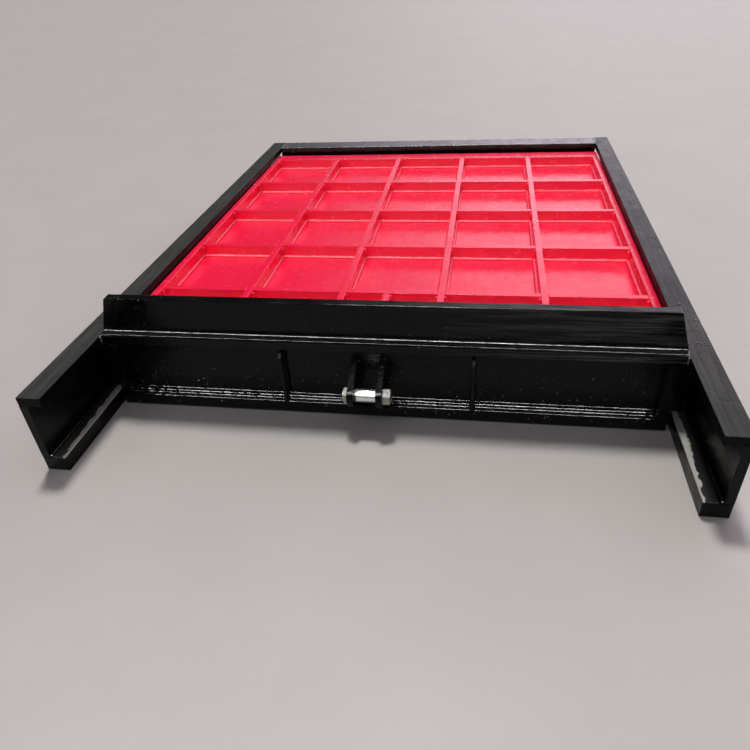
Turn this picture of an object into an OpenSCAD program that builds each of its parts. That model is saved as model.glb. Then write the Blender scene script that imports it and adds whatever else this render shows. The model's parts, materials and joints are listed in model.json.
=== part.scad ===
// Sluice gate: a ribbed steel leaf in a welded steel frame, lying on its back.
// X runs across the gate, Y from its top end (-Y) to its sill (+Y), and Z through its thickness.
// The leaf slides between the guides towards -Y, which is up once the gate is stood in place.

/* [Frame] */
// Overall width over both guides
frame_w = 2280; // [1900:10:2800]
// Length of the guides
guide_len = 3040; // [2600:10:3600]
// Thickness of the frame from its back face to its front face
frame_d = 320; // [280:5:380]
// Width of a guide's flange and back bar
guide_w = 88; // [76:1:110]
// Thickness of the front flange
flange_t = 33; // [25:1:60]
// Thickness of the back bar that carries the track
bar_t = 58; // [40:1:70]
// Thickness of a guide's web
guide_web_t = 30; // [16:1:36]
// Width of the bare track strip on a back bar
track_w = 44; // [30:1:56]
// Thickness of the track strip
track_t = 6; // [4:1:10]

/* [Head] */
// Distance from the guides' top ends to the front face of the head upright
head_setback = 436; // [300:1:600]
// Width of the head bar, along the guides
head_bar_w = 88; // [80:1:120]
// How far the head bar stands out in front of the upright
head_ledge = 36; // [20:1:38]
// Height of the upright above the frame's front face
head_h = 140; // [80:1:180]
// Thickness of the upright
head_t = 40; // [20:1:44]
// How far the upright's foot laps onto each guide
head_lap = 5; // [2:1:40]
// How far each end of the upright slopes inward over its height
head_slope = 44; // [20:1:60]

/* [Sill] */
// Width of the sill's front and back bars, along the guides
sill_w = 130; // [100:1:260]
// Thickness of the sill's web
sill_web_t = 30; // [16:1:40]
// How far the guides' ends stand proud of the sill
sill_inset = 5; // [0:1:20]

/* [Leaf] */
// Number of columns of cells across the leaf
columns = 5; // [3:1:7]
// Number of rows of cells along the leaf
rows = 5; // [3:1:7]
// Distance from the leaf's top end to the middle of the first rib across
first_row = 447; // [300:1:600]
// Width of a rib's top edge
rib_w = 29; // [16:1:36]
// Width of a side rib's top edge
side_rib_w = 32; // [20:1:40]
// Width of the bottom rib, along the leaf
bottom_rib_w = 106; // [60:1:160]
// Height of the ribs above the skin
rib_h = 60; // [30:1:70]
// Thickness of the skin plate
skin_t = 12; // [8:1:16]
// Thickness of the top and bottom edge plates
edge_t = 16; // [10:1:24]
// Depth of the side stiles, measured across the gate
stile_w = 40; // [30:1:60]
// Thickness of a stile's web and flanges
stile_t = 12; // [8:1:16]
// Height of the lip bar along the foot of the top edge plate
lip_h = 42; // [30:1:50]
// How far the lip bar stands out from the top edge plate
lip_out = 36; // [20:1:50]
// Thickness of the cross beams' webs
beam_t = 12; // [8:1:16]
// Width of the cross beams' back flanges
beam_flange_w = 90; // [60:1:120]
// Thickness of the cross beams' back flanges
beam_flange_t = 14; // [10:1:20]
// Height of the slide bars that run on the tracks
slide_h = 40; // [30:1:70]
// Length of the sloped lead-in at a slide bar's ends
slide_nose = 40; // [20:1:60]
// Height of the lead-in
slide_nose_h = 8; // [4:1:12]
// Height of the bottom seal strip
seal_h = 30; // [20:1:50]
// Thickness of the seal strip's flat leg
seal_leg_t = 12; // [8:1:20]
// Length of the seal strip's flat leg, from the leaf to the round bulb
seal_leg = 24; // [3:1:40]

/* [Lifting lug] */
// Place of the lug across the gate
lug_x = -24; // [-60:1:60]
// Place of the short rib behind the lug
lug_rib_x = -17; // [-60:1:60]
// Height of the pin above the frame's back face
pin_z = 150; // [130:1:165]
// Distance from the top edge plate to the pin
pin_out = 107; // [95:1:140]
// Radius of the ears' round nose
ear_r = 42; // [36:1:60]
// Thickness of an ear
ear_t = 24; // [16:1:30]
// Gap between the ears
ear_gap = 80; // [60:1:110]
// Height of the ears' lower corner above the lip
ear_foot = 4; // [2:1:20]
// Drop of the ears' upper corner below the leaf's front
ear_drop = 29; // [4:1:60]
// Radius of the pin bolt
pin_r = 18; // [14:0.5:20]
// Radius of the sleeve on the pin bolt
sleeve_r = 24; // [22:0.5:28]
// Width across flats of the bolt head and nut
hex_af = 55; // [46:1:60]
// Height of the bolt head
bolt_head_h = 28; // [16:1:34]
// Height of the nut
nut_h = 15; // [12:1:30]
// How far the bolt's thread stands out of the nut
thread_out = 5; // [2:1:12]
// Thickness of the gussets on the top edge plate
gusset_t = 12; // [8:1:20]
// Distance of the gussets from the gate's middle
gusset_x = 355; // [240:1:500]
// Snip at the gussets' corners, which lets the foot weld pass
gusset_snip = 14; // [8:1:20]
// Drop of the gussets' top below the leaf's front
gusset_drop = 20; // [4:1:60]

/* [Clearances] */
// Side gap between the leaf and a guide's web
slot_gap = 15; // [8:1:20]
// Gap between the leaf's front and the guides' front flanges
front_gap = 6; // [6:1:20]
// Gap between the leaf's back and the plane of the frame's back face
back_gap = 5; // [5:1:20]
// Side gap between a stile and a back bar
bar_gap = 16; // [10:1:24]
// Inset of a side rib's middle from the edge of a guide's flange
side_rib_inset = 17; // [12:1:40]
// Running gap under the slide bars and at the seal
run_gap = 0.3; // [0.2:0.1:0.5]
// Clearance round the pin bolt in the ears and the sleeve
pin_gap = 0.5; // [0.3:0.1:1]
// Clearance of the nut on the bolt's thread
thread_gap = 0.05; // [0.05:0.05:0.2]

/* [Hidden] */
$fn = 48;
nose_steps = 32;
over = 1;

half_w = frame_w / 2;
clear_x = half_w - guide_w;
slot_x = half_w - guide_web_t;
front_z = frame_d - flange_t;
track_z = bar_t + track_t;

guide_y0 = -guide_len / 2;
guide_y1 = guide_len / 2;
head_y = guide_y0 + head_setback;
sill_y1 = guide_y1 - sill_inset;
sill_y0 = sill_y1 - sill_w;

leaf_y0 = head_y;
sill_gap = seal_leg + seal_h + run_gap;
leaf_y1 = sill_y0 - sill_gap;
leaf_x = slot_x - slot_gap;
leaf_z0 = back_gap;
leaf_z1 = front_z - front_gap;
skin_z1 = leaf_z1 - rib_h;
skin_z0 = skin_z1 - skin_t;
stile_x1 = clear_x - bar_gap;
stile_x0 = stile_x1 - stile_w;
side_rib_x = clear_x - side_rib_inset;
column_pitch = 2 * side_rib_x / columns;
row_pitch = (leaf_y1 - bottom_rib_w + rib_w / 2 - leaf_y0 - first_row) / (rows - 1);
slide_z0 = track_z + run_gap;
slide_z1 = slide_z0 + slide_h;
lip_z1 = leaf_z0 + lip_h;
ear_z0 = lip_z1 + ear_foot;
ear_z1 = leaf_z1 - ear_drop;
pin_y = leaf_y0 - pin_out;
nut_x = lug_x - ear_gap / 2 - ear_t - nut_h;
head_x = lug_x + ear_gap / 2 + ear_t;

black = [0.08, 0.08, 0.08];
dark = [0.16, 0.16, 0.16];
red = [0.85, 0.08, 0.16];
bare = [0.62, 0.62, 0.6];
zinc = [0.75, 0.74, 0.72];
rubber = [0.05, 0.05, 0.05];

// A box between two corners
module block(from, to) {
    translate(from) cube(to - from);
}

// Children, a profile drawn in Y and Z, drawn out along X
module across(from, to) {
    translate([from, 0, 0]) rotate([90, 0, 90]) linear_extrude(to - from) children();
}

// Children as drawn for the right-hand side, or mirrored for the left
module side(s) {
    mirror([s < 0 ? 1 : 0, 0, 0]) children();
}

function rib_x(i) = -side_rib_x + i * column_pitch;
function rib_y(j) = leaf_y0 + first_row + (j - 1) * row_pitch;
function rib_half(i) = (i == 0 || i == columns ? side_rib_w : rib_w) / 2;

// Guides: a web outside, a front flange and a thicker back bar that carries the track
module guide_web(s) {
    color(black) side(s) block([slot_x, guide_y0, bar_t], [half_w, guide_y1, front_z]);
}

module guide_flange(s) {
    color(black) side(s) block([clear_x, guide_y0, front_z], [half_w, guide_y1, frame_d]);
}

module guide_bar(s) {
    color(black) side(s) block([clear_x, guide_y0, 0], [half_w, guide_y1, bar_t]);
}

module track(s) {
    color(bare) side(s) block([clear_x, guide_y0, bar_t], [clear_x + track_w, guide_y1, track_z]);
}

// Sill and head, which join the guides
module sill_web() {
    color(black) block([-clear_x, sill_y0, bar_t], [clear_x, sill_y0 + sill_web_t, front_z]);
}

module sill_front_bar() {
    color(black) block([-clear_x, sill_y0, front_z], [clear_x, sill_y1, frame_d]);
}

module sill_back_bar() {
    color(black) block([-clear_x, sill_y0, 0], [clear_x, sill_y1, bar_t]);
}

module head_bar() {
    y0 = head_y - head_ledge;
    color(black) block([-clear_x, y0, front_z], [clear_x, y0 + head_bar_w, frame_d]);
}

module head_upright() {
    foot = clear_x + head_lap;
    top = foot - head_slope;
    color(black) translate([0, head_y + head_t, frame_d]) rotate([90, 0, 0])
        linear_extrude(head_t)
            polygon([[-foot, 0], [foot, 0], [top, head_h], [-top, head_h]]);
}

// Leaf: skin plate and the shallow grid of ribs on its front
module skin_plate() {
    color(red) block([-leaf_x, leaf_y0 + edge_t, skin_z0], [leaf_x, leaf_y1, skin_z1]);
}

module long_rib(i) {
    x = rib_x(i);
    half = rib_half(i);
    color(red) block([x - half, leaf_y0 + edge_t, skin_z1], [x + half, leaf_y1, leaf_z1]);
}

module cross_rib(j) {
    y0 = rib_y(j) - rib_w / 2;
    y1 = j == rows ? leaf_y1 : y0 + rib_w;
    color(red) for (i = [0 : columns - 1])
        block([rib_x(i) + rib_half(i), y0, skin_z1],
              [rib_x(i + 1) - rib_half(i + 1), y1, leaf_z1]);
}

module lug_rib() {
    color(red) block([lug_rib_x - rib_w / 2, leaf_y0 + edge_t, skin_z1],
                     [lug_rib_x + rib_w / 2, rib_y(1) - rib_w / 2, leaf_z1]);
}

// Leaf: top and bottom edges
module top_edge_plate() {
    foot_z = slide_z0;
    color(black) translate([0, leaf_y0 + edge_t, 0]) rotate([90, 0, 0])
        linear_extrude(edge_t)
            polygon([[-stile_x1, leaf_z0], [stile_x1, leaf_z0], [stile_x1, foot_z],
                     [leaf_x, foot_z], [leaf_x, leaf_z1], [-leaf_x, leaf_z1],
                     [-leaf_x, foot_z], [-stile_x1, foot_z]]);
}

module top_lip() {
    color(black) block([-stile_x1, leaf_y0 - lip_out, leaf_z0], [stile_x1, leaf_y0, lip_z1]);
}

module corner_post(s) {
    color(black) side(s)
        block([stile_x0, leaf_y0 - lip_out, lip_z1], [stile_x1, leaf_y0, leaf_z1]);
}

module gusset(s) {
    y0 = leaf_y0 - lip_out;
    z1 = leaf_z1 - gusset_drop;
    color(black) side(s) across(gusset_x - gusset_t / 2, gusset_x + gusset_t / 2)
        polygon([[y0, lip_z1], [leaf_y0 - gusset_snip, lip_z1], [leaf_y0, lip_z1 + gusset_snip],
                 [leaf_y0, z1], [y0 + gusset_snip, z1], [y0, z1 - gusset_snip]]);
}

module bottom_edge_plate() {
    color(red) block([-stile_x0, leaf_y1 - edge_t, leaf_z0], [stile_x0, leaf_y1, skin_z0]);
}

module bottom_seal() {
    r = seal_h / 2;
    bulb = [sill_y0 - run_gap - r, track_z + r];
    color(rubber) across(-stile_x1, stile_x1) union() {
        translate([leaf_y1, bulb.y - seal_leg_t / 2]) square([bulb.x - leaf_y1, seal_leg_t]);
        translate(bulb) circle(r);
    }
}

// Leaf: stiles, slide bars and cross beams behind the skin
module stile(s) {
    color(red) side(s) translate([0, leaf_y1, 0]) rotate([90, 0, 0])
        linear_extrude(leaf_y1 - leaf_y0 - edge_t)
            polygon([[stile_x0, leaf_z0], [stile_x1, leaf_z0], [stile_x1, leaf_z0 + stile_t],
                     [stile_x0 + stile_t, leaf_z0 + stile_t], [stile_x0 + stile_t, skin_z0 - stile_t],
                     [stile_x1, skin_z0 - stile_t], [stile_x1, skin_z0], [stile_x0, skin_z0]]);
}

module slide(s) {
    y0 = leaf_y0 + edge_t;
    color(dark) side(s) across(stile_x0 + stile_t, leaf_x)
        polygon([[y0, slide_z0 + slide_nose_h], [y0 + slide_nose, slide_z0],
                 [leaf_y1 - slide_nose, slide_z0], [leaf_y1, slide_z0 + slide_nose_h],
                 [leaf_y1, slide_z1], [y0, slide_z1]]);
}

module cross_beam(j) {
    y = rib_y(j);
    web_z0 = leaf_z0 + beam_flange_t;
    color(red) union() {
        block([-stile_x0, y - beam_t / 2, web_z0], [stile_x0, y + beam_t / 2, skin_z0]);
        block([-stile_x0, y - beam_flange_w / 2, leaf_z0], [stile_x0, y + beam_flange_w / 2, web_z0]);
    }
}

// Lifting lug: two ears on the top edge plate, joined by a bolt with a sleeve
// Direction, as an angle, from a circle's centre c to where the line from p touches it
function touch(p, c, r, s) =
    let (d = p - c) atan2(d.y, d.x) + s * acos(r / norm(d));

module ear(x) {
    nose = [-pin_out, pin_z];
    low = [0, ear_z0];
    high = [0, ear_z1];
    a0 = touch(high, nose, ear_r, 1);
    a1 = 360 + touch(low, nose, ear_r, -1);
    outline = [low, high, for (k = [0 : nose_steps])
        let (a = a0 + (a1 - a0) * k / nose_steps) nose + ear_r * [cos(a), sin(a)]];
    color(black) translate([0, leaf_y0, 0]) across(x, x + ear_t)
        difference() {
            polygon(outline);
            translate(nose) circle(pin_r + pin_gap);
        }
}

// Round bar along X, centred on the pin's axis
module pin_bar(x, l, r, fn = $fn) {
    translate([x, pin_y, pin_z]) rotate([0, 90, 0]) cylinder(h = l, r = r, $fn = fn);
}

module lug_sleeve() {
    l = ear_gap - 2 * run_gap;
    color(zinc) difference() {
        pin_bar(lug_x - l / 2, l, sleeve_r);
        pin_bar(lug_x - l / 2 - over, l + 2 * over, pin_r + pin_gap);
    }
}

module lug_bolt() {
    x0 = nut_x - thread_out;
    color(zinc) union() {
        pin_bar(x0, head_x - x0 + over, pin_r);
        pin_bar(head_x, bolt_head_h, hex_af / 2 / cos(30), 6);
    }
}

module lug_nut() {
    color(zinc) difference() {
        pin_bar(nut_x, nut_h, hex_af / 2 / cos(30), 6);
        pin_bar(nut_x - over, nut_h + 2 * over, pin_r + thread_gap);
    }
}

guide_web(-1);  // left_guide_web
guide_flange(-1);  // left_guide_flange
guide_bar(-1);  // left_guide_bar
track(-1);  // left_track
guide_web(1);  // right_guide_web
guide_flange(1);  // right_guide_flange
guide_bar(1);  // right_guide_bar
track(1);  // right_track
sill_web();
sill_front_bar();
sill_back_bar();
head_bar();
head_upright();
skin_plate();
long_rib(0);  // left_side_rib
long_rib(columns);  // right_side_rib
long_rib(1);  // long_rib_1
long_rib(2);  // long_rib_2
long_rib(3);  // long_rib_3
long_rib(4);  // long_rib_4
cross_rib(1);  // cross_rib_1
cross_rib(2);  // cross_rib_2
cross_rib(3);  // cross_rib_3
cross_rib(4);  // cross_rib_4
cross_rib(5);  // cross_rib_5
lug_rib();
top_edge_plate();
top_lip();
bottom_edge_plate();
bottom_seal();
cross_beam(1);  // cross_beam_1
cross_beam(2);  // cross_beam_2
cross_beam(3);  // cross_beam_3
cross_beam(4);  // cross_beam_4
stile(-1);  // left_stile
stile(1);  // right_stile
slide(-1);  // left_slide
slide(1);  // right_slide
corner_post(-1);  // left_corner_post
corner_post(1);  // right_corner_post
gusset(-1);  // left_gusset
gusset(1);  // right_gusset
ear(lug_x - ear_gap / 2 - ear_t);  // lug_ear_left
ear(lug_x + ear_gap / 2);  // lug_ear_right
lug_sleeve();
lug_bolt();
lug_nut();
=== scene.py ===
# %% [markdown]
# # A sluice gate, painted and welded
# A sluice gate closes a water channel: a flat leaf of steel plate, stiffened by a grid of ribs, slides
# in the deep slots of a welded frame. This one lies on its back on a workshop floor, before it is
# put in place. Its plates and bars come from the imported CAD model, exactly where they belong, so this
# script adds what CAD leaves out: weld beads, rounded edges, brushed gloss paint, bare running
# strips, a proper bolt, and the light and camera of the photograph.

# %% Load the frame
import json
import math
import random

import bmesh
import bpy
from mathutils import Matrix, Vector, noise


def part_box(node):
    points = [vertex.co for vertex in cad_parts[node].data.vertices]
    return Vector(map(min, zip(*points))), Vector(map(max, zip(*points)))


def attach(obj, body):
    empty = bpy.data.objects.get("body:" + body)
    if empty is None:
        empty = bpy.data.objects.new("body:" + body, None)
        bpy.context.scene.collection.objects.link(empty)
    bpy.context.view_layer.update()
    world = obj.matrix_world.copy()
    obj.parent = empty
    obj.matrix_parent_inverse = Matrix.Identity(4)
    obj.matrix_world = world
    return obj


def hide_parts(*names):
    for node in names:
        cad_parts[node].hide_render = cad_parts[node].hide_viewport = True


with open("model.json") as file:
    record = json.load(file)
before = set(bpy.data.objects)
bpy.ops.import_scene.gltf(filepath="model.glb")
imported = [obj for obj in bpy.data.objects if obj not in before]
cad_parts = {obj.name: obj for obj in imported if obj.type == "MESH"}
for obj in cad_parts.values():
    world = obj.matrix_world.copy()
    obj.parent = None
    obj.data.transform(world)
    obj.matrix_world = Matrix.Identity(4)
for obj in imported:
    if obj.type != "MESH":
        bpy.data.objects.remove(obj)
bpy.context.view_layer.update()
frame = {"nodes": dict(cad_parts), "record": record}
MM = 0.001

# %% [markdown]
# ## Camera
# The photograph was taken by someone who stood at the top end of the gate and looked down at it. A fit
# to some fifty corners of the gate gave the focal length in pixels, the place of the lens and its
# three angles. The camera's matrix is put together from these, because Euler angles
# would hide what each of them means.

# %% Camera from the fitted view
PICTURE_PX = 750
FOCAL_PX = 636.7
SENSOR_MM = 36.0
LENS_AT = Vector((0.376, -2.99, 1.517))
YAW, PITCH, ROLL = (math.radians(angle) for angle in (-11.34, 34.78, -4.08))

forward = Vector((math.sin(YAW) * math.cos(PITCH), math.cos(YAW) * math.cos(PITCH), -math.sin(PITCH)))
level = Vector((math.cos(YAW), -math.sin(YAW), 0))
above = level.cross(forward)
right = math.cos(ROLL) * level + math.sin(ROLL) * above
up = math.cos(ROLL) * above - math.sin(ROLL) * level

camera = bpy.data.objects.new("camera", bpy.data.cameras.new("camera"))
camera.data.sensor_width = SENSOR_MM
camera.data.lens = FOCAL_PX * SENSOR_MM / PICTURE_PX
camera.matrix_world = Matrix.Translation(LENS_AT) @ Matrix((right, up, -forward)).transposed().to_4x4()
bpy.context.scene.collection.objects.link(camera)
bpy.context.scene.camera = camera
print("lens in mm:", round(camera.data.lens, 2))

# %% [markdown]
# ## Colours and nodes
# Paint makers give colours as sRGB hex codes, but Blender works with linear light, so one function
# turns the one into the other. A second one adds a node, sets it and links it in one line, and two
# more build on that: ramp stretches a value between two limits, and blend fades one colour into
# another. They keep the materials below short enough to read as recipes.

# %% Helpers for colours and nodes
def linear(code):
    """The linear RGBA colour of an sRGB hex code such as "#c8102e"."""
    parts = [int(code[i:i + 2], 16) / 255 for i in (1, 3, 5)]
    return [c / 12.92 if c <= 0.04045 else ((c + 0.055) / 1.055) ** 2.4 for c in parts] + [1.0]


def add(tree, kind, inputs=None, **settings):
    """Adds a shader node; each input gets a value, or a link from another node's output."""
    made = tree.nodes.new("ShaderNode" + kind)
    for name, value in settings.items():
        setattr(made, name, value)
    for socket, value in (inputs or {}).items():
        if isinstance(value, bpy.types.NodeSocket):
            tree.links.new(value, made.inputs[socket])
        else:
            made.inputs[socket].default_value = value
    return made


def ramp(tree, value, start, end, to_min=0.0, to_max=1.0):
    """A value stretched so that start gives to_min and end gives to_max, and held between the two."""
    return add(tree, "MapRange", {"Value": value, "From Min": start, "From Max": end,
                                  "To Min": to_min, "To Max": to_max}).outputs[0]


def blend(tree, amount, first, second):
    """The first colour faded into the second. On a Mix node, sockets 6, 7 and 2 are the colour ones."""
    return add(tree, "Mix", {0: amount, 6: first, 7: second}, data_type="RGBA").outputs[2]


def start_material(name):
    """A new material with an empty tree and Object coordinates to draw its patterns on."""
    made = bpy.data.materials.new(name)
    made.use_nodes = True
    made.node_tree.nodes.clear()
    return made, made.node_tree, add(made.node_tree, "TexCoord").outputs["Object"]


def finish_material(tree, shader):
    """Sends a shader to the material's output."""
    add(tree, "OutputMaterial", {"Surface": shader.outputs[0]})


print("half bright sRGB in linear light:", round(linear("#808080")[0], 3))

# %% [markdown]
# ## Floor
# The floor is pale trowelled concrete, and one large square is enough for it: its faint clouds come
# from the material.

# %% Floor
FLOOR_SIZE = 70.0
CONCRETE_DARK, CONCRETE_PALE = "#aaa49e", "#b8b2ac"
CLOUD_SIZE = 0.6
bm = bmesh.new()
bmesh.ops.create_grid(bm, x_segments=1, y_segments=1, size=FLOOR_SIZE / 2)
floor_mesh = bpy.data.meshes.new("floor")
bm.to_mesh(floor_mesh)
bm.free()
floor = bpy.data.objects.new("floor", floor_mesh)
bpy.context.scene.collection.objects.link(floor)

concrete, tree, place = start_material("pale_trowelled_concrete")
cloudy = add(tree, "TexNoise", {"Vector": place, "Scale": 1 / CLOUD_SIZE, "Detail": 6.0, "Roughness": 0.6})
tint = add(tree, "ValToRGB", {"Fac": cloudy.outputs["Fac"]})
tint.color_ramp.elements[0].color = linear(CONCRETE_DARK)
tint.color_ramp.elements[1].color = linear(CONCRETE_PALE)
finish_material(tree, add(tree, "BsdfPrincipled", {"Base Color": tint.outputs["Color"], "Roughness": 0.6}))
floor_mesh.materials.append(concrete)
print("floor across, in metres:", FLOOR_SIZE)

# %% [markdown]
# ## Sky
# Glossy paint mirrors what stands opposite the lens, so the sky matters more than any lamp. It is
# drawn from the direction alone: bright beyond the sill and to the right, which turns that side of
# the leaf pink, and dark to the left and behind the lens, where the red stays deep. Overhead it is
# dim and even. Low down it gains strength, because flat tops mirror that part at a grazing angle.
# Its bright colour leans a little to lilac.

# %% Sky by direction
SKY_DARK, SKY_BRIGHT = "#2c3034", "#fbf0ff"
DIM_LEFT, BRIGHT_RIGHT = -0.27, 0.06
DIM_BEHIND, BRIGHT_BEYOND = -0.3, 0.6
OVERHEAD, OVERHEAD_FROM, OVERHEAD_FULL = 0.2, 0.6, 0.9
LOW_GAIN, LOW_UNTIL = 2.1, 0.3
HIGH_GAIN, HIGH_FROM = 1.2, 0.55
world = bpy.data.worlds.new("hall_sky")
world.use_nodes = True
tree = world.node_tree
way = add(tree, "SeparateXYZ", {0: add(tree, "TexCoord").outputs["Generated"]})
rightwards = ramp(tree, way.outputs["X"], DIM_LEFT, BRIGHT_RIGHT)
beyond = ramp(tree, way.outputs["Y"], DIM_BEHIND, BRIGHT_BEYOND)
low_glow = add(tree, "Math", {0: rightwards, 1: beyond}, operation="MULTIPLY")
high_glow = ramp(tree, way.outputs["Z"], OVERHEAD_FROM, OVERHEAD_FULL, to_max=OVERHEAD)
glow = add(tree, "Math", {0: low_glow.outputs[0], 1: high_glow}, operation="MAXIMUM")
gain = ramp(tree, way.outputs["Z"], LOW_UNTIL, HIGH_FROM, LOW_GAIN, HIGH_GAIN)
sky = blend(tree, glow.outputs[0], linear(SKY_DARK), linear(SKY_BRIGHT))
tree.links.new(sky, tree.nodes["Background"].inputs["Color"])
tree.links.new(gain, tree.nodes["Background"].inputs["Strength"])
bpy.context.scene.world = world
bpy.context.scene.view_settings.view_transform = "Standard"
print("sky drawn by", len(tree.nodes), "nodes")

# %% [markdown]
# ## Lamps
# Most of the light falls steeply from the roof, a little from beyond the sill: that puts a dark band
# with a crisp edge on the floor in front of the lip. A sun lamp can give it, since its angle sets
# how soft that edge is. The same slant would leave the ribs' near faces and their feet in shade,
# where the photograph is bright. So the red work takes a nearly upright ridge light and a weak
# window fill from behind the lens in place of the roof light. Light linking does that: a
# collection says which pieces a lamp reaches. A long strip of light above the lens draws the white
# glints on welds and edges. It is hidden from diffuse rays, so it doesn't light the floor.

# %% Roof light, ridge light, fill and glint strip
def light(name, kind, at, towards, energy, **settings):
    """A light at one point, turned to face another."""
    data = bpy.data.lights.new(name, kind)
    data.energy = energy
    for key, value in settings.items():
        setattr(data, key, value)
    made = bpy.data.objects.new(name, data)
    at, towards = Vector(at), Vector(towards)
    turned = (towards - at).to_track_quat("-Z", "Y").to_matrix().to_4x4()
    made.matrix_world = Matrix.Translation(at) @ turned
    bpy.context.scene.collection.objects.link(made)
    return made


GATE_MIDDLE, LIP_MIDDLE = (0, 0, 0), (0, -1.1, 0.2)
roof = light("roof_light", "SUN", (-0.5, 1.6, 4.6), GATE_MIDDLE, energy=2.25, angle=math.radians(9))
ridge = light("ridge_light", "SUN", (-0.3, 0.2, 4.6), GATE_MIDDLE, energy=1.6, angle=math.radians(14))
fill = light("window_fill", "SUN", (-0.6, -3.0, 2.0), GATE_MIDDLE, energy=0.9, angle=math.radians(40))
glints = light("glint_strip", "AREA", (-0.4, -4.2, 4.6), LIP_MIDDLE, energy=1300, shape="RECTANGLE",
               size=9.0, size_y=1.0)
glints.visible_diffuse = False
red_work, not_red = (bpy.data.collections.new(n) for n in ("red_work", "all_but_red_work"))
ridge.light_linking.receiver_collection = fill.light_linking.receiver_collection = red_work
roof.light_linking.receiver_collection = not_red


def light_as_red(piece):
    """Red pieces take the ridge light and the window fill in place of the roof light."""
    red_work.objects.link(piece)
    not_red.objects.link(piece)
    not_red.collection_objects[-1].light_linking.link_state = "EXCLUDE"


# %% [markdown]
# ## Hand-brushed gloss enamel
# Frame and leaf are coated with alkyd enamel, laid on thickly with a wide brush. Three things give that
# away: bristle marks that follow the long way of each bar, slow waves where the wet coat sagged,
# and pits and specks where it covers mill scale. All three are bumps under one glossy surface, so
# one recipe serves both colours. Bristle marks are really 2 to 4 mm apart, and are drawn three
# times as coarse, or the picture would lose them. Faces that point up are lightened in streaks
# with a pale colour: partly dust, partly painted sheen of the bright sky. If asked, the thin coat
# towards +X is lightened the same way, as a painted sheen.

# %% Enamel recipe
BRISTLE_WIDE, BRISTLE_LONG, BRISTLE_DEEP = 11 * MM, 260 * MM, 0.8 * MM
SAG_PITCH, SAG_DEEP = 55 * MM, 2.2 * MM
PLATE_WAVE, WAVE_DEEP = 330 * MM, 9 * MM
PIT_PITCH, PIT_DEEP, SHALLOW_PIT = 13 * MM, 1.2 * MM, 0.1 * MM
# Limits between which a pattern fades in
PIT_RIM, PITTED_PATCH, THIN_COAT = (0.12, 0.3), (0.5, 0.66), (0.45, 0.7)
UPWARD, DUST_AND_SHEEN_STREAK, DULL_PATCH, PAINTED_SHEEN_SIDE = (0.6, 1.0), (0.35, 0.65), (0.3, 0.7), (0.1, 1.0)
# How far it goes
MOST_WORN, LEAST_DUST_AND_SHEEN, MOST_DUST_AND_SHEEN, GLOSS_SPREAD = 0.7, 0.6, 1.2, 0.16


def enamel(name, coat, worn, dust, stroke, gloss, dusty, shine, pit_deep=PIT_DEEP, right_sheen=0):
    """Gloss paint brushed along one axis, lightened where it faces up by dust and painted sheen, with a
    painted sheen towards +X if asked.
    """
    made, tree, place = start_material(name)
    scales = [1 / (BRISTLE_LONG if axis == stroke else BRISTLE_WIDE) for axis in "XYZ"]
    brushed = add(tree, "Mapping", {"Vector": place, "Scale": scales})
    bristles = add(tree, "TexNoise", {"Vector": brushed.outputs[0], "Scale": 1.0, "Detail": 4.0,
                                      "Roughness": 0.6})
    sags = add(tree, "TexNoise", {"Vector": place, "Scale": 1 / SAG_PITCH, "Detail": 3.0, "Roughness": 0.55})
    waves = add(tree, "TexNoise", {"Vector": place, "Scale": 1 / PLATE_WAVE, "Detail": 1.0})
    cells = add(tree, "TexVoronoi", {"Vector": place, "Scale": 1 / PIT_PITCH})
    pits = ramp(tree, cells.outputs["Distance"], *PIT_RIM)
    patches = ramp(tree, waves.outputs["Fac"], *PITTED_PATCH)
    pitted = add(tree, "Math", {0: 1.0, 1: pits}, operation="SUBTRACT")
    pitted = add(tree, "Math", {0: pitted.outputs[0], 1: patches}, operation="MULTIPLY")

    relief = add(tree, "Bump", {"Height": waves.outputs["Fac"], "Strength": 1.0, "Distance": WAVE_DEEP})
    for height, depth in ((sags, SAG_DEEP), (bristles, BRISTLE_DEEP)):
        relief = add(tree, "Bump", {"Height": height.outputs["Fac"], "Strength": 1.0, "Distance": depth,
                                    "Normal": relief.outputs[0]})
    relief = add(tree, "Bump", {"Height": pitted.outputs[0], "Strength": 1.0, "Distance": pit_deep,
                                "Normal": relief.outputs[0]}, invert=True)

    thin = ramp(tree, bristles.outputs["Fac"], *THIN_COAT, to_max=MOST_WORN)
    paint = blend(tree, thin, linear(coat), linear(worn))
    # A painted sheen: the thin coat towards +X is lightened to the pale colour.
    if right_sheen:
        across = add(tree, "SeparateXYZ", {0: place})
        sheen_side = ramp(tree, across.outputs["X"], *PAINTED_SHEEN_SIDE, to_max=right_sheen)
        painted_sheen = add(tree, "Math", {0: thin, 1: sheen_side}, operation="MULTIPLY")
        paint = blend(tree, painted_sheen.outputs[0], paint, linear(dust))
    # Faces that point up are lightened in streaks with the pale colour: partly dust, partly painted sheen.
    facing = add(tree, "SeparateXYZ", {0: add(tree, "TexCoord").outputs["Normal"]})
    up_dust_and_sheen = ramp(tree, facing.outputs["Z"], *UPWARD)
    dust_and_sheen_streaks = ramp(tree, bristles.outputs["Fac"], *DUST_AND_SHEEN_STREAK, LEAST_DUST_AND_SHEEN * dusty, MOST_DUST_AND_SHEEN * dusty)
    dust_and_sheen_mix = add(tree, "Math", {0: up_dust_and_sheen, 1: dust_and_sheen_streaks}, operation="MULTIPLY")
    paint = blend(tree, dust_and_sheen_mix.outputs[0], paint, linear(dust))
    rough = ramp(tree, sags.outputs["Fac"], *DULL_PATCH, gloss, gloss + GLOSS_SPREAD)
    finish_material(tree, add(tree, "BsdfPrincipled", {
        "Base Color": paint, "Roughness": rough, "IOR": 1.5, "Specular IOR Level": shine,
        "Normal": relief.outputs[0]}))
    return made


print("pits, in metres apart:", PIT_PITCH)
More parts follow.
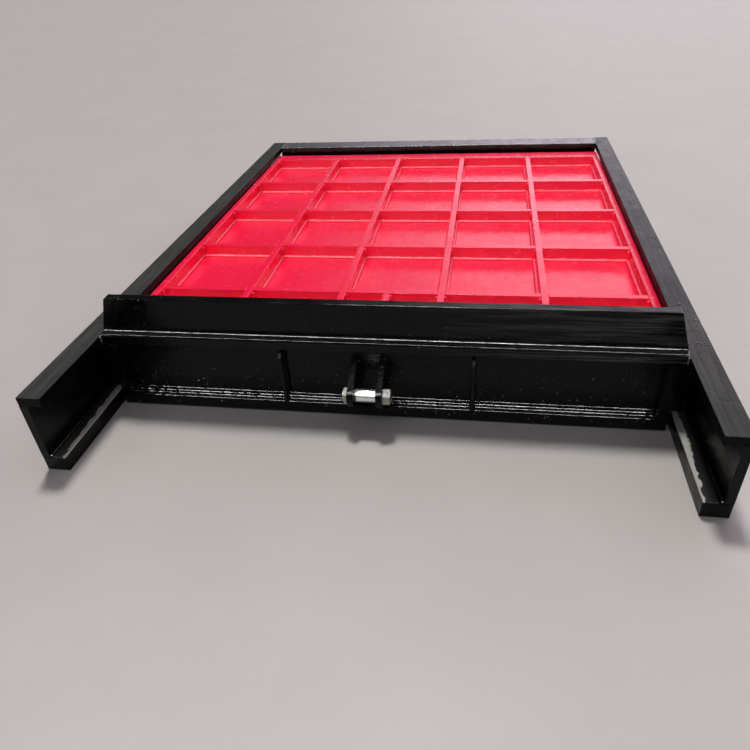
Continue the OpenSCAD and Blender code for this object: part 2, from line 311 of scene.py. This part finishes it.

# %% [markdown]
# ## Finishes in black and red
# Each colour is given as a full coat, a thin coat and a pale colour that lightens what faces up:
# partly dust, partly painted sheen. The frame's black is a deep wet one. The front flanges take
# more of the pale colour on top, a painted sheen over some dust; the head bar and its upright get
# a painted sheen in grey on their right half; the sill's top mirrors the bright sky and is
# lightened on top as well; and the gussets are dull, or their cut corners would mirror the glint
# strip. The leaf's red leans to blue. On a weld bead enamel runs together: black looks wet and full
# of small white glints, and red is lightened to pale pink where it faces up, a painted highlight.

# %% Enamels of the frame and leaf
BLACK = ("#040404", "#0c0d0c", "#6f6f6c")
RED = ("#f6043c", "#fb154a", "#f592b0")


def brushed_ways(name, colours, **look):
    """The same enamel brushed along X, Y and Z."""
    return {axis: enamel(f"{name}_{axis.lower()}", *colours, axis, **look) for axis in "XYZ"}


# The pale third colour on upward faces is partly dust and partly painted sheen.
black_along = brushed_ways("black_gloss_enamel", BLACK, gloss=0.12, dusty=0.1, shine=0.12)
dusty_along = brushed_ways("dusty_black_enamel", BLACK, gloss=0.26, dusty=0.32, shine=0.06)
# Painted sheen in grey on the right half of the head bar and its upright.
right_sheen_black = enamel("black_enamel_painted_sheen_right", *BLACK, "X", gloss=0.12, dusty=0.0, shine=0.14, right_sheen=0.9)
dull_black = enamel("dull_black_enamel", *BLACK, "Z", gloss=0.62, dusty=0.0, shine=0.1)
# The sill's top mirrors the sky and is also lightened on top, a painted sheen.
sheened_black = enamel("black_enamel_mirror_and_sheen", *BLACK, "X", gloss=0.2, dusty=0.5, shine=0.4)
red_along = brushed_ways("red_gloss_enamel", RED, gloss=0.14, dusty=0.03, shine=0.56, pit_deep=SHALLOW_PIT)
black_weld = enamel("black_enamel_on_weld", *BLACK, "X", gloss=0.06, dusty=0.0, shine=0.8)
# The red bead is lightened to pale pink where it faces up: a painted highlight.
red_weld = enamel("red_enamel_on_weld", *RED, "X", gloss=0.34, dusty=0.45, shine=0.4, pit_deep=SHALLOW_PIT)
print("enamels:", sum("enamel" in m.name for m in bpy.data.materials))

# %% [markdown]
# ## Bare running strips
# The leaf's slide bars rub on two strips of ground steel, which stay unpainted. The painter's brush
# still ran over their edges, so the black ends in a ragged line. It reaches further in at the
# near end and covers the far end. The strip has fine scratches along the way the leaf moves and
# a breath of rust. One shader mixes steel and paint by a noisy distance from the strip's inner edge.

# %% Ground steel with a ragged paint edge
STRIP_INNER, STRIP_WIDE = 1052 * MM, 44 * MM
PAINTED_END, BARE_FROM = -1520 * MM, -1230 * MM
FAR_PAINT_FROM, FAR_PAINT_FULL = 1100 * MM, 1160 * MM
# How far across the strip stays bare, and the limits between which paint fades in
BARE_AT_END, BARE_MIDWAY, PAINT_EDGE = 0.5, 0.85, (0.1, 0.14)
RAG_SIZE, RUST_PATCH, MOST_RUST = 40 * MM, (0.5, 0.72), 0.6
SCRATCH_WIDE, SCRATCH_LONG, SCRATCH_DEEP, PAINT_THICK = 3 * MM, 120 * MM, 0.3 * MM, 0.8 * MM
GROUND, RUSTED, STEEL_METALLIC = "#b4b2a9", "#857d72", 0.25
ground_steel, tree, place = start_material("ground_steel_strip")
apart = add(tree, "SeparateXYZ", {0: place})
side = add(tree, "Math", {0: apart.outputs["X"]}, operation="ABSOLUTE")
across = ramp(tree, side.outputs[0], STRIP_INNER, STRIP_INNER + STRIP_WIDE)
bare_to = ramp(tree, apart.outputs["Y"], PAINTED_END, BARE_FROM, BARE_AT_END, BARE_MIDWAY)
ragged = add(tree, "TexNoise", {"Vector": place, "Scale": 1 / RAG_SIZE, "Detail": 6.0, "Roughness": 0.7})
edge = add(tree, "Math", {0: across, 1: ragged.outputs["Fac"]}, operation="ADD")
edge = add(tree, "Math", {0: edge.outputs[0], 1: bare_to}, operation="SUBTRACT")
far_end = ramp(tree, apart.outputs["Y"], FAR_PAINT_FROM, FAR_PAINT_FULL)
edge = add(tree, "Math", {0: edge.outputs[0], 1: far_end}, operation="ADD")
painted = ramp(tree, edge.outputs[0], *PAINT_EDGE)
scratch_map = add(tree, "Mapping", {"Vector": place,
                                    "Scale": (1 / SCRATCH_WIDE, 1 / SCRATCH_LONG, 1 / SCRATCH_WIDE)})
scratches = add(tree, "TexNoise", {"Vector": scratch_map.outputs[0], "Scale": 1.0, "Detail": 3.0})
rusty = ramp(tree, ragged.outputs["Fac"], *RUST_PATCH, to_max=MOST_RUST)
steel = blend(tree, rusty, linear(GROUND), linear(RUSTED))
skin = blend(tree, painted, steel, linear(BLACK[0]))
metal = ramp(tree, painted, 0.0, 1.0, to_min=STEEL_METALLIC, to_max=0.0)
rough = ramp(tree, scratches.outputs["Fac"], 0.0, 1.0, to_min=0.3, to_max=0.5)
relief = add(tree, "Bump", {"Height": scratches.outputs["Fac"], "Strength": 0.6, "Distance": SCRATCH_DEEP})
relief = add(tree, "Bump", {"Height": painted, "Strength": 1.0, "Distance": PAINT_THICK,
                            "Normal": relief.outputs[0]})
finish_material(tree, add(tree, "BsdfPrincipled", {
    "Base Color": skin, "Metallic": metal, "Roughness": rough, "Normal": relief.outputs[0]}))
print("strip bare from y =", BARE_FROM, "to", FAR_PAINT_FROM)

# %% [markdown]
# ## Zinc-plated pin and rubber seal
# The lug's sleeve, bolt and nut are plated with zinc, a pale metal with a soft sheen and faint
# cloudiness, turned or drawn along X. The sleeve is the bright one, and bolt and nut are duller.
# The seal on the leaf's bottom edge is moulded rubber: nearly black, dull and very slightly
# grainy, with a pale bloom.

# %% Zinc and rubber
CLOUD_PITCH, GRAIN_PITCH = 14 * MM, 3 * MM
TURNED_WIDE, TURNED_LONG, TURNED_DEEP, GRAIN_DEEP = 1.2 * MM, 40 * MM, 0.12 * MM, 0.3 * MM
RUBBER_BLACK, RUBBER_BLOOM = "#141414", "#262625"


def zinc(name, dark, pale):
    """Zinc plating, turned or drawn along X."""
    made, tree, place = start_material(name)
    cloud = add(tree, "TexNoise", {"Vector": place, "Scale": 1 / CLOUD_PITCH, "Detail": 3.0})
    tone = blend(tree, cloud.outputs["Fac"], linear(dark), linear(pale))
    rough = ramp(tree, cloud.outputs["Fac"], 0.0, 1.0, to_min=0.18, to_max=0.42)
    turned_map = add(tree, "Mapping", {"Vector": place,
                                       "Scale": (1 / TURNED_WIDE, 1 / TURNED_LONG, 1 / TURNED_LONG)})
    turned = add(tree, "TexNoise", {"Vector": turned_map.outputs[0], "Scale": 1.0, "Detail": 2.0})
    relief = add(tree, "Bump", {"Height": turned.outputs["Fac"], "Strength": 0.5, "Distance": TURNED_DEEP})
    finish_material(tree, add(tree, "BsdfPrincipled", {
        "Base Color": tone, "Metallic": 1.0, "Roughness": rough, "Normal": relief.outputs[0]}))
    return made


zinc_plate = zinc("zinc_plated_steel", dark="#c9c8c2", pale="#e2e1dc")
dull_zinc = zinc("dull_zinc_plated_steel", dark="#6f6e6a", pale="#9a9993")

moulded_rubber, tree, place = start_material("moulded_rubber")
grain = add(tree, "TexNoise", {"Vector": place, "Scale": 1 / GRAIN_PITCH, "Detail": 4.0})
tone = blend(tree, grain.outputs["Fac"], linear(RUBBER_BLACK), linear(RUBBER_BLOOM))
relief = add(tree, "Bump", {"Height": grain.outputs["Fac"], "Strength": 0.4, "Distance": GRAIN_DEEP})
finish_material(tree, add(tree, "BsdfPrincipled", {
    "Base Color": tone, "Roughness": 0.7, "IOR": 1.5, "Normal": relief.outputs[0]}))
print("materials:", [m.name for m in bpy.data.materials])

# %% [markdown]
# ## Dressing the CAD plates
# A CAD plate has knife-sharp edges. A real one is cut, ground and painted, so each edge is rounded by
# a millimetre or two, and catches the light as a thin line. A Bevel modifier does that without
# touching the mesh. The CAD mesh is loose triangles, so a Weld modifier joins them first. Brush
# strokes run along each bar, so the enamel is chosen by the bar's longest side. A few plates have
# a finish of their own.

# %% Paint and edge every CAD node
EDGE_ROUND, UPRIGHT_ROUND, MOST_OF_SIDE = 2.2 * MM, 3 * MM, 0.15
JOIN_WITHIN, SHARPER_THAN = 0.02 * MM, math.radians(40)
# The flanges' tops take more of the pale colour: some dust, mostly painted sheen.
DUST_AND_SHEEN_FLANGES = ("left_guide_flange", "right_guide_flange")
OWN_FINISH = {"head_upright": right_sheen_black, "head_bar": right_sheen_black, "sill_front_bar": sheened_black,
              "left_gusset": dull_black, "right_gusset": dull_black}
slot_of = {part["node"]: part["material_slot"] for part in frame["record"]["subparts"]}
other = {"bare_steel": ground_steel, "zinc_plate": zinc_plate, "seal_rubber": moulded_rubber}
for name, plate in frame["nodes"].items():
    low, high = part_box(name)
    size = high - low
    longest = "XYZ"[max(range(3), key=lambda i: size[i])]
    slot = slot_of[name]
    if slot == "black_paint":
        finish = (dusty_along if name in DUST_AND_SHEEN_FLANGES else black_along)[longest]
    elif slot == "red_paint":
        finish = red_along[longest]
    else:
        finish = other[slot]
    plate.data.materials.clear()
    plate.data.materials.append(OWN_FINISH.get(name, finish))
    if slot == "red_paint":
        light_as_red(plate)
    join = plate.modifiers.new("join_triangles", "WELD")
    join.merge_threshold = JOIN_WITHIN
    rounded = plate.modifiers.new("rounded_edges", "BEVEL")
    rounded.width = UPRIGHT_ROUND if name == "head_upright" else min(EDGE_ROUND, MOST_OF_SIDE * min(size))
    rounded.segments = 2
    rounded.limit_method = "ANGLE"
    rounded.angle_limit = SHARPER_THAN
print("plates dressed:", len(frame["nodes"]))

# %% [markdown]
# ## Weld beads
# Every plate is held by fillet welds, and on a hand-welded gate they are easy to see: a bead about as
# thick as a finger, with ripples from the arc and a wandering edge. A bead starts as a small
# circle that is swept straight along the seam with spin, which moves it without turning it.
# Each ring is then swelled or shrunk to draw ripples, and noise adds lumps. Real ripples are 3 to
# 5 mm apart, and are drawn at 10 mm. Every run of beads becomes one piece that rides on its body.

# %% A bead along a seam
RIPPLE, RIPPLE_SWELL = 10 * MM, 0.16
LONG_LUMP, SHORT_LUMP = 28 * MM, 7 * MM
# A bead's middle stands this far off a plate, and its ends this far short of the plate's corners
OFF_PLATE, END_ROOM = 1 * MM, 4 * MM


def bead(joined, start, end, radius, ring_gap=5 * MM, sides=7, lumps=0.3):
    """Adds one closed bead from start to end to a bmesh."""
    start, end = Vector(start), Vector(end)
    way = (end - start).normalized()
    steps = max(3, round((end - start).length / ring_gap))
    bm = bmesh.new()
    bmesh.ops.create_circle(bm, cap_ends=False, segments=sides, radius=radius)
    bmesh.ops.transform(bm, verts=bm.verts, matrix=Matrix.Translation(start)
                        @ way.to_track_quat("Z", "Y").to_matrix().to_4x4())
    bmesh.ops.spin(bm, geom=bm.verts[:] + bm.edges[:], cent=start, axis=way, angle=0.0, steps=steps,
                   dvec=(end - start) / steps)
    for v in bm.verts:
        along = (v.co - start).dot(way)
        middle = start + way * along
        phase = (along / RIPPLE) % 1.0
        lump = noise.noise(middle / LONG_LUMP) + 0.5 * noise.noise(v.co / SHORT_LUMP)
        v.co = middle + (v.co - middle) * (1 + RIPPLE_SWELL * (1 - phase) + lumps * lump)
    bmesh.ops.holes_fill(bm, edges=[e for e in bm.edges if e.is_boundary], sides=0)
    bmesh.ops.recalc_face_normals(bm, faces=bm.faces)
    for f in bm.faces:
        f.smooth = True
    piece = bpy.data.meshes.new("bead")
    bm.to_mesh(piece)
    bm.free()
    joined.from_mesh(piece)
    bpy.data.meshes.remove(piece)


def add_piece(name, bm, body, material, slot):
    """Makes a joined bmesh an object that rides on a body and takes the given material; a red_paint slot
    puts it among the red work for light linking.
    """
    mesh = bpy.data.meshes.new(name)
    bm.to_mesh(mesh)
    bm.free()
    piece = bpy.data.objects.new(name, mesh)
    bpy.context.scene.collection.objects.link(piece)
    mesh.materials.append(material)
    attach(piece, body)
    if slot == "red_paint":
        light_as_red(piece)
    print(name, "triangles:", sum(len(p.vertices) - 2 for p in mesh.polygons))
    return piece


print("ripples, in metres apart:", RIPPLE)

# %% [markdown]
# ## Welds of the frame
# The head's upright stands on the frame and is welded along both feet. The front one is the brightest
# line of the photograph, with a second thin one in front of it. Long beads hold the guides' webs to
# their flanges and bars, and short ones close the joints between head, sill and guides. All run
# from corner to corner, with their places read from the boxes of the plates that they join.

# %% Frame welds
upright_low, upright_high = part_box("head_upright")
head_low, head_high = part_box("head_bar")
sill_low, sill_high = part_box("sill_front_bar")
front = head_high.z

# In mm, for each run: how far behind the upright's near face, how high over the front, and its radius
UPRIGHT_RUNS = ((-1, 3, 5), (-26, 0.3, 1.4), (42, 2, 6))
JOINT_ROOM, JOINT_DOWN, JOINT_BEAD = 3 * MM, 3.5 * MM, 5.5 * MM
CORNER_DOWN, CLIMBING_BEAD = 2 * MM, 5 * MM
bm = bmesh.new()
for behind, high, radius in UPRIGHT_RUNS:
    y, z = upright_low.y + behind * MM, front + high * MM
    bead(bm, (upright_low.x + END_ROOM, y, z), (upright_high.x - END_ROOM, y, z), radius * MM)
for x in (head_low.x, head_high.x):
    z = front - JOINT_DOWN
    for low, high in ((head_low, upright_low), (upright_high, head_high), (sill_low, sill_high)):
        bead(bm, (x, low.y + JOINT_ROOM, z), (x, high.y - JOINT_ROOM, z), JOINT_BEAD)
    y = head_low.y - OFF_PLATE
    bead(bm, (x, y, head_low.z + END_ROOM), (x, y, front - CORNER_DOWN), CLIMBING_BEAD)
add_piece("frame_welds", bm, "frame", black_weld, "black_paint")

SLOT_BEAD, SLOT_IN = 4 * MM, 1.5 * MM
bm = bmesh.new()
for hand, inwards in (("left", 1), ("right", -1)):
    web_low, web_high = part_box(hand + "_guide_web")
    x = (web_high.x if hand == "left" else web_low.x) + inwards * SLOT_IN
    for z in (web_low.z + SLOT_IN, web_high.z - SLOT_IN):
        bead(bm, (x, web_low.y + END_ROOM, z), (x, web_high.y - END_ROOM, z), SLOT_BEAD, ring_gap=8 * MM)
add_piece("slot_welds", bm, "frame", black_weld, "black_paint")

# %% [markdown]
# ## Welds of the leaf's top edge
# A lip runs along the foot of the black edge plate. The weld over it is laid in four thin, lumpy runs,
# and each draws a bright line of its own. Gussets and the lug's ears are welded upright to the
# same plate. Their beads take the plate's own finish, so they stay dark.

# %% Black leaf welds
plate_low, plate_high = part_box("top_edge_plate")
lip_low, lip_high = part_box("top_lip")
ears = [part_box("lug_ear_left"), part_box("lug_ear_right")]
posts = [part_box(hand + "_corner_post") for hand in ("left", "right")]
gussets = [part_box(hand + "_gusset") for hand in ("left", "right")]
face_y = plate_low.y

stops = [posts[0][1].x, gussets[0][0].x, gussets[0][1].x, ears[0][0].x, ears[1][1].x,
         gussets[1][0].x, gussets[1][1].x, posts[1][0].x]
# In mm, for each run: how far out from the plate's face, how high over the lip, and its radius
LIP_RUNS = ((0, 20, 2.5), (4, 8, 4.5), (13, 2, 3.5), (30, 0, 2))
bm = bmesh.new()
for start, end in zip(stops[::2], stops[1::2]):
    for out, high, radius in LIP_RUNS:
        y, z = face_y - out * MM, lip_high.z + high * MM
        bead(bm, (start, y, z), (end, y, z), radius * MM, lumps=0.9)
add_piece("leaf_edge_welds", bm, "leaf", black_weld, "black_paint")

CLIMB_FROM, CLIMB_SHORT, CLIMB_BEAD = 6 * MM, 20 * MM, 3.5 * MM
bm = bmesh.new()
y = face_y - OFF_PLATE
for low, high in gussets + ears:
    for x in (low.x - OFF_PLATE, high.x + OFF_PLATE):
        bead(bm, (x, y, low.z + CLIMB_FROM), (x, y, high.z - CLIMB_SHORT), CLIMB_BEAD)
add_piece("upright_welds", bm, "leaf", black_along["Z"], "black_paint")

# %% [markdown]
# ## Weld spatter
# Stick welding throws drops of metal, which freeze on the plates nearby and stay under the paint as
# glossy warts 3 to 8 mm across. They could be bump, but each one catches the light by itself, so
# small spheres are sunk to half their depth into the plates. A seeded random draw strews them,
# thickest near the seam.

# %% Drops on the black plates
chance = random.Random(7)
SMALL_DROP_MM, DROP_SPREAD_MM = 1.6, 2.6
WIDER, FLATTER, THINNING = 1.25, 0.6, 2.2
Y, Z = 1, 2


def spatter(joined, count, low, high, flat, near):
    """Strews drops from low to high, flattened along one axis and thinning out along another."""
    for _ in range(count):
        at = [a + (b - a) * chance.random() for a, b in zip(low, high)]
        at[near] = low[near] + (high[near] - low[near]) * chance.random() ** THINNING
        radius = (SMALL_DROP_MM + DROP_SPREAD_MM * chance.random() ** 2) * MM
        squeeze = [WIDER, WIDER, WIDER]
        squeeze[flat] = FLATTER
        bmesh.ops.create_uvsphere(joined, u_segments=8, v_segments=5, radius=radius,
                                  matrix=Matrix.Translation(at) @ Matrix.Diagonal(squeeze).to_4x4())


PLATE_DROPS, LIP_DROPS, FLANGE_DROPS, UPRIGHT_DROPS = 300, 60, 90, 40
SIDE_ROOM, SEAM_ROOM, LIP_ROOM, FLANGE_ROOM = 30 * MM, 8 * MM, 6 * MM, 4 * MM
PLATE_CLEAN, UPRIGHT_SPLASH, FLANGE_SPLASH = 90 * MM, 70 * MM, 1.1
bm = bmesh.new()
spatter(bm, PLATE_DROPS, (posts[0][1].x + SIDE_ROOM, face_y, lip_high.z + SEAM_ROOM),
        (posts[1][0].x - SIDE_ROOM, face_y, plate_high.z - PLATE_CLEAN), Y, Z)
spatter(bm, LIP_DROPS, (lip_low.x + SIDE_ROOM, lip_low.y, lip_high.z - LIP_ROOM),
        (lip_high.x - SIDE_ROOM, lip_low.y, lip_low.z + LIP_ROOM), Y, Z)
add_piece("leaf_spatter", bm, "leaf", black_weld, "black_paint")

flange_low, flange_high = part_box("right_guide_flange")
bm = bmesh.new()
spatter(bm, FLANGE_DROPS, (flange_low.x + FLANGE_ROOM, upright_high.y, front),
        (flange_high.x - FLANGE_ROOM, upright_high.y + FLANGE_SPLASH, front), Z, Y)
spatter(bm, UPRIGHT_DROPS, (upright_low.x + SIDE_ROOM * 2, upright_low.y, front + SEAM_ROOM),
        (upright_high.x - SIDE_ROOM * 2, upright_low.y, front + UPRIGHT_SPLASH), Y, Z)
add_piece("frame_spatter", bm, "frame", black_weld, "black_paint")

# %% [markdown]
# ## Welds of the rib grid
# Inside each cell a bead runs round the foot of the ribs, and a shorter one climbs each corner where
# two ribs meet. They show as pale lines that frame every panel. The cells are found from the boxes
# of the ribs, so a change of the grid in the CAD moves the welds too.

# %% Red leaf welds
along_ribs = sorted((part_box(n)[0].x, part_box(n)[1].x) for n in frame["nodes"]
                    if n.startswith("long_rib_") or n.endswith("_side_rib"))
across_ribs = sorted((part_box(n)[0].y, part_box(n)[1].y) for n in frame["nodes"]
                     if n.startswith("cross_rib_"))
lug_rib_low, lug_rib_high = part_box("lug_rib")
foot_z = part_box("skin_plate")[1].z
rows = [(plate_high.y, across_ribs[0][0])] + [(a[1], b[0]) for a, b in zip(across_ribs, across_ribs[1:])]

FOOT_BEAD, CORNER_BEAD, RING_GAP = 8 * MM, 6 * MM, 6 * MM
FOOT_IN, CORNER_IN, BELOW_TOP = 3 * MM, 2 * MM, 9 * MM
bm = bmesh.new()
for (_, x0), (x1, _) in zip(along_ribs, along_ribs[1:]):
    for i, (y0, y1) in enumerate(rows):
        # The lug's rib parts one cell of the first row in two
        spans = [(x0, x1)]
        if i == 0 and x0 < lug_rib_low.x < x1:
            spans = [(x0, lug_rib_low.x), (lug_rib_high.x, x1)]
        for a, b in spans:
            z = foot_z + FOOT_IN
            for y in (y0 + FOOT_IN, y1 - FOOT_IN):
                bead(bm, (a + FOOT_IN, y, z), (b - FOOT_IN, y, z), FOOT_BEAD, RING_GAP, sides=6)
            for x in (a + FOOT_IN, b - FOOT_IN):
                bead(bm, (x, y0 + FOOT_IN, z), (x, y1 - FOOT_IN, z), FOOT_BEAD, RING_GAP, sides=6)
            for x in (a + CORNER_IN, b - CORNER_IN):
                for y in (y0 + CORNER_IN, y1 - CORNER_IN):
                    bead(bm, (x, y, z), (x, y, lug_rib_high.z - BELOW_TOP), CORNER_BEAD, sides=6)
add_piece("rib_welds", bm, "leaf", red_weld, "red_paint")

# %% [markdown]
# ## Welds of the hidden side
# Behind the skin, the cross beams' webs are welded to it along both sides, and the beams' ends to the
# stiles. Nobody photographed this side, so the beads are plain and regular.

# %% Welds behind the skin
skin_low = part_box("skin_plate")[0]
BEAM_WEB, BEAM_BEAD, BEAM_RING_GAP = 12 * MM, 5 * MM, 9 * MM
STILE_FOOT, STILE_TOP = 20 * MM, 8 * MM
bm = bmesh.new()
for name in sorted(n for n in frame["nodes"] if n.startswith("cross_beam_")):
    low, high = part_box(name)
    middle = (low.y + high.y) / 2
    for out in (-1, 1):
        y, z = middle + out * (BEAM_WEB / 2 + OFF_PLATE), skin_low.z - OFF_PLATE
        bead(bm, (low.x + END_ROOM, y, z), (high.x - END_ROOM, y, z), BEAM_BEAD, BEAM_RING_GAP, sides=6)
        for x in (low.x + OFF_PLATE, high.x - OFF_PLATE):
            bead(bm, (x, y, low.z + STILE_FOOT), (x, y, skin_low.z - STILE_TOP), BEAM_BEAD, BEAM_RING_GAP,
                 sides=6)
add_piece("beam_welds", bm, "leaf", red_weld, "red_paint")

# %% [markdown]
# ## Bolt and nut
# The sleeve hangs on a hexagon bolt. In the CAD its head and nut are plain six-sided prisms. Real ones
# are turned at the ends before they are cut from the bar, so their corners are chamfered to a
# round. Here a six-sided prism starts as a cone of two equal radii, and its corners are turned off
# by cutting with planes all round the axis. The cut face is closed after each cut. The shank gets
# a chamfered end, and the nut needs no bore, because the shank fills it.

# %% Hexagon bolt and nut
bolt_low, bolt_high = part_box("lug_bolt")
nut_low, nut_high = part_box("lug_nut")
axis = Vector((0, (bolt_low.y + bolt_high.y) / 2, (bolt_low.z + bolt_high.z) / 2))
ACROSS_FLATS = bolt_high.y - bolt_low.y
CORNER_R = ACROSS_FLATS / math.sqrt(3)
CHAMFER_TILT, CHAMFER_CUTS, CHAMFER_RIM = math.radians(27), 24, 0.49
HEAD_FROM = ears[1][1].x
SHANK_R, SHANK_SIDES, SHANK_INTO_HEAD, SHANK_CHAMFER = 18 * MM, 48, 1 * MM, 2 * MM


def along_x(x0, x1):
    """Places a shape made on Z between x0 and x1 of the bolt's axis, with a corner of the hexagon up."""
    return (Matrix.Translation(((x0 + x1) / 2, axis.y, axis.z))
            @ Matrix.Rotation(math.radians(90), 4, "Y") @ Matrix.Rotation(math.radians(30), 4, "Z"))


def hexagon(x0, x1, ends):
    """A six-sided prism whose corners are turned off at the given ends, -1 or 1."""
    bm = bmesh.new()
    bmesh.ops.create_cone(bm, cap_ends=True, segments=6, radius1=CORNER_R, radius2=CORNER_R, depth=x1 - x0,
                          matrix=along_x(x0, x1))
    for end in ends:
        face = x1 if end > 0 else x0
        for k in range(CHAMFER_CUTS):
            turn = 2 * math.pi * k / CHAMFER_CUTS
            out = Vector((0, math.cos(turn), math.sin(turn)))
            normal = out * math.sin(CHAMFER_TILT) + Vector((end, 0, 0)) * math.cos(CHAMFER_TILT)
            rim = Vector((face, axis.y, axis.z)) + out * ACROSS_FLATS * CHAMFER_RIM
            bmesh.ops.bisect_plane(bm, geom=bm.verts[:] + bm.edges[:] + bm.faces[:], plane_co=rim,
                                   plane_no=normal.normalized(), clear_outer=True, dist=1e-7)
            bmesh.ops.holes_fill(bm, edges=[e for e in bm.edges if e.is_boundary], sides=0)
    bmesh.ops.recalc_face_normals(bm, faces=bm.faces)
    return bm


bm = hexagon(HEAD_FROM, bolt_high.x, (1,))
shank = bmesh.new()
shank_end = HEAD_FROM + SHANK_INTO_HEAD
bmesh.ops.create_cone(shank, cap_ends=True, segments=SHANK_SIDES, radius1=SHANK_R, radius2=SHANK_R,
                      depth=shank_end - bolt_low.x, matrix=along_x(bolt_low.x, shank_end))
rim = [e for e in shank.edges if all(abs(v.co.x - bolt_low.x) < 0.1 * MM for v in e.verts)]
bmesh.ops.bevel(shank, geom=rim, offset=SHANK_CHAMFER, offset_type="OFFSET", segments=2, profile=0.5,
                affect="EDGES", material=-1)
part = bpy.data.meshes.new("shank")
shank.to_mesh(part)
shank.free()
bm.from_mesh(part)
bpy.data.meshes.remove(part)
hex_bolt = add_piece("hex_bolt", bm, "leaf", dull_zinc, "zinc_plate")
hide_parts("lug_bolt")

bm = hexagon(nut_low.x, nut_high.x, (-1, 1))
hex_nut = add_piece("hex_nut", bm, "leaf", dull_zinc, "zinc_plate")
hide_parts("lug_nut")
